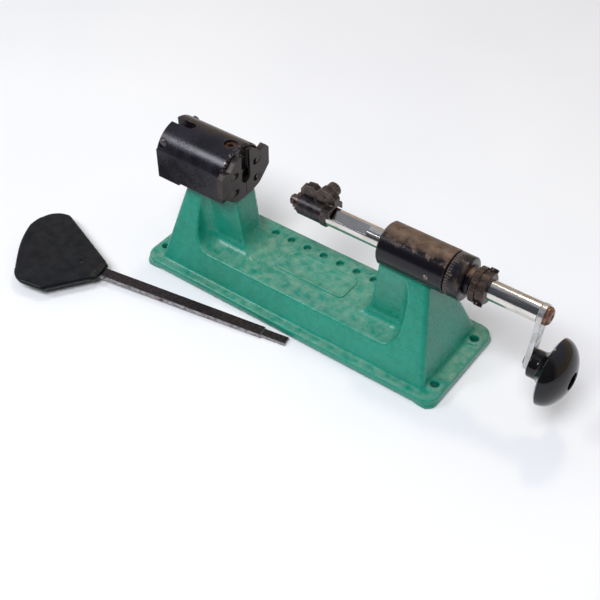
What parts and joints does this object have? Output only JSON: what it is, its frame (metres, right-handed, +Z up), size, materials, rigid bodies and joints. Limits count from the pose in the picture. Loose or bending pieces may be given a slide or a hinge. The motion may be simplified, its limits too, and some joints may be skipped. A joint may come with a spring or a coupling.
{
  "type": "hand-cranked case trimmer",
  "caption": "Bench-mounted hand trimmer: cast base with two towers, lever-worked jaw head, sliding cutter spindle with depth collar, crank and knob, and a loose paddle lever.",
  "frame": {"origin": "centre of the four bench holes, on the plane of the foot pads", "axes": "+X along the base towards the crank, +Y towards the row of pilot holes, +Z up"},
  "size_m": [0.3867, 0.1497, 0.0989],
  "materials": {
    "green_paint": "green enamel over a rough iron casting",
    "black_steel": "satin blackened steel with worn edges",
    "brown_steel": "blackened steel browned by handling",
    "screw_steel": "blackened screws",
    "worn_pin": "bare steel pin ends",
    "tool_steel": "ground tool steel",
    "spring_steel": "spring wire",
    "bronze": "sintered bronze bushes",
    "polished_steel": "ground and polished shaft",
    "plated_steel": "bright plated bar",
    "gloss_black": "moulded glossy knob",
    "lever_steel": "blackened bar with brown speckle",
    "satin_black": "moulded satin paddle"
  },
  "bodies": {
    "frame": {"base_casting": "green_paint", "head_body": "black_steel", "head_mount_screws": "screw_steel", "lever_pivot_pin": "worn_pin", "plunger_stop_screw": "screw_steel", "plunger_spring": "spring_steel", "jaw_screws": "screw_steel", "bearing_housing": "brown_steel", "housing_screws": "screw_steel", "housing_oil_plug": "screw_steel", "front_bush": "bronze", "rear_bush": "bronze"},
    "wedge": {"wedge_plunger": "tool_steel"},
    "front_jaw": {"jaw_front": "brown_steel"},
    "back_jaw": {"jaw_back": "brown_steel"},
    "depth_collar": {"micrometer_collar": "black_steel", "collar_screw": "screw_steel"},
    "feed": {"thrust_washer": "tool_steel"},
    "spindle": {"lock_ring": "black_steel", "stop_collar": "black_steel", "stop_screws": "screw_steel", "spindle_shaft": "polished_steel", "cutter_body": "black_steel", "cutter_bit": "tool_steel", "cutter_screw": "screw_steel", "pilot": "tool_steel", "blade_holder": "brown_steel", "deburr_blade": "tool_steel", "holder_screw": "screw_steel", "crank_arm": "plated_steel", "crank_screw": "brown_steel", "knob_pin": "screw_steel"},
    "knob": {"knob": "gloss_black"},
    "lever": {"lever_bar": "lever_steel", "lever_paddle": "satin_black", "lever_rivet": "screw_steel"}
  },
  "joints": [
    {"name": "wedge_push", "type": "slide", "parent": "frame", "child": "wedge", "axis": [1, 0, 0], "range_m": [0, 0.003], "stiffness_N_per_m": 900, "springref_m": -0.004, "deforming": ["plunger_spring"]},
    {"name": "front_jaw_slide", "type": "slide", "parent": "frame", "child": "front_jaw", "axis": [0, -1, 0], "range_m": [0, 0.003]},
    {"name": "back_jaw_slide", "type": "slide", "parent": "frame", "child": "back_jaw", "axis": [0, 1, 0], "range_m": [0, 0.003]},
    {"name": "depth_collar_turn", "type": "hinge", "parent": "frame", "child": "depth_collar", "pos_m": [0.1054, 0, 0.0776], "axis": [1, 0, 0], "range_deg": [-180, 180]},
    {"name": "spindle_feed", "type": "slide", "parent": "frame", "child": "feed", "axis": [1, 0, 0], "range_m": [0, 0.036]},
    {"name": "spindle_spin", "type": "hinge", "parent": "feed", "child": "spindle", "pos_m": [0.1, 0, 0.0776], "axis": [1, 0, 0], "continuous": true},
    {"name": "knob_spin", "type": "hinge", "parent": "spindle", "child": "knob", "pos_m": [0.17, -0.00828, 0.04665], "axis": [1, 0, 0], "continuous": true},
    {"name": "lever_lift", "type": "slide", "parent": "frame", "child": "lever", "axis": [0, 0, 1], "range_m": [0, 0.08]}
  ],
  "couplings": [
    {"joint": "front_jaw_slide", "follows": "wedge_push", "ratio": 1},
    {"joint": "back_jaw_slide", "follows": "wedge_push", "ratio": 1}
  ]
}
